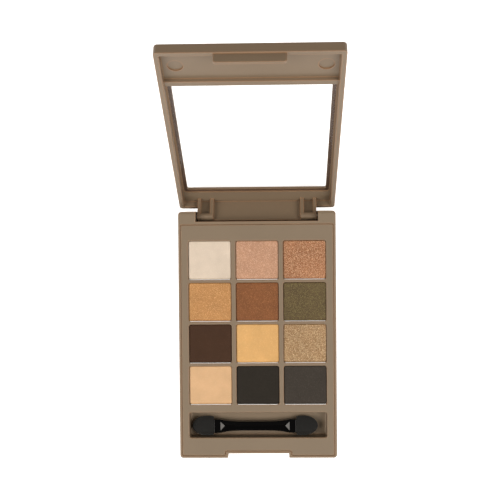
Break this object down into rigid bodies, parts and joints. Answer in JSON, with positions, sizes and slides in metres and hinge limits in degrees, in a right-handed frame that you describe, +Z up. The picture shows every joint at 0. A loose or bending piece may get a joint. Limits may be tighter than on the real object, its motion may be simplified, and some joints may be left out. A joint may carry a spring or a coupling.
{
  "type": "eyeshadow palette",
  "caption": "Slim rectangular eyeshadow palette: hinged lid with a clear window, framed powder pans and a well for a double-ended sponge applicator.",
  "frame": {"origin": "centre of the base's underside, where the palette rests on a table", "axes": "+X to the user's right, +Y from the thumb notch towards the hinge, +Z up; the lid stands open"},
  "size_m": [0.07, 0.1693, 0.0993],
  "materials": {
    "shell_plastic": "satin",
    "deck_plastic": "satin",
    "lid_plastic": "satin",
    "clear_window": "polished",
    "pan_metal": "satin",
    "pin_steel": "satin",
    "handle_plastic": "gloss",
    "sponge_foam": "matte",
    "powder_ivory": "matte",
    "powder_rose": "satin",
    "powder_copper": "satin",
    "powder_gold": "satin",
    "powder_russet": "satin",
    "powder_olive": "satin",
    "powder_cocoa": "matte",
    "powder_honey": "matte",
    "powder_champagne": "satin",
    "powder_peach": "matte",
    "powder_black": "matte",
    "powder_charcoal": "matte"
  },
  "bodies": {
    "base": {"base_shell": "shell_plastic", "deck_plate": "deck_plastic", "pan_ivory": "pan_metal", "pan_rose": "pan_metal", "pan_copper": "pan_metal", "pan_gold": "pan_metal", "pan_russet": "pan_metal", "pan_olive": "pan_metal", "pan_cocoa": "pan_metal", "pan_honey": "pan_metal", "pan_champagne": "pan_metal", "pan_peach": "pan_metal", "pan_black": "pan_metal", "pan_charcoal": "pan_metal", "powder_ivory": "powder_ivory", "powder_rose": "powder_rose", "powder_copper": "powder_copper", "powder_gold": "powder_gold", "powder_russet": "powder_russet", "powder_olive": "powder_olive", "powder_cocoa": "powder_cocoa", "powder_honey": "powder_honey", "powder_champagne": "powder_champagne", "powder_peach": "powder_peach", "powder_black": "powder_black", "powder_charcoal": "powder_charcoal", "hinge_pin_left": "pin_steel", "hinge_pin_right": "pin_steel"},
    "lid": {"lid_frame": "lid_plastic", "lid_window": "clear_window"},
    "applicator": {"applicator_handle": "handle_plastic", "sponge_tip_left": "sponge_foam", "sponge_tip_right": "sponge_foam"}
  },
  "joints": [
    {"name": "lid_hinge", "type": "hinge", "parent": "base", "child": "lid", "pos_m": [0, 0.05283, 0.00675], "axis": [1, 0, 0], "range_deg": [0, 119.5]},
    {"name": "applicator_lift", "type": "slide", "parent": "base", "child": "applicator", "axis": [0, 0, -1], "range_m": [-0.003, 0]}
  ]
}
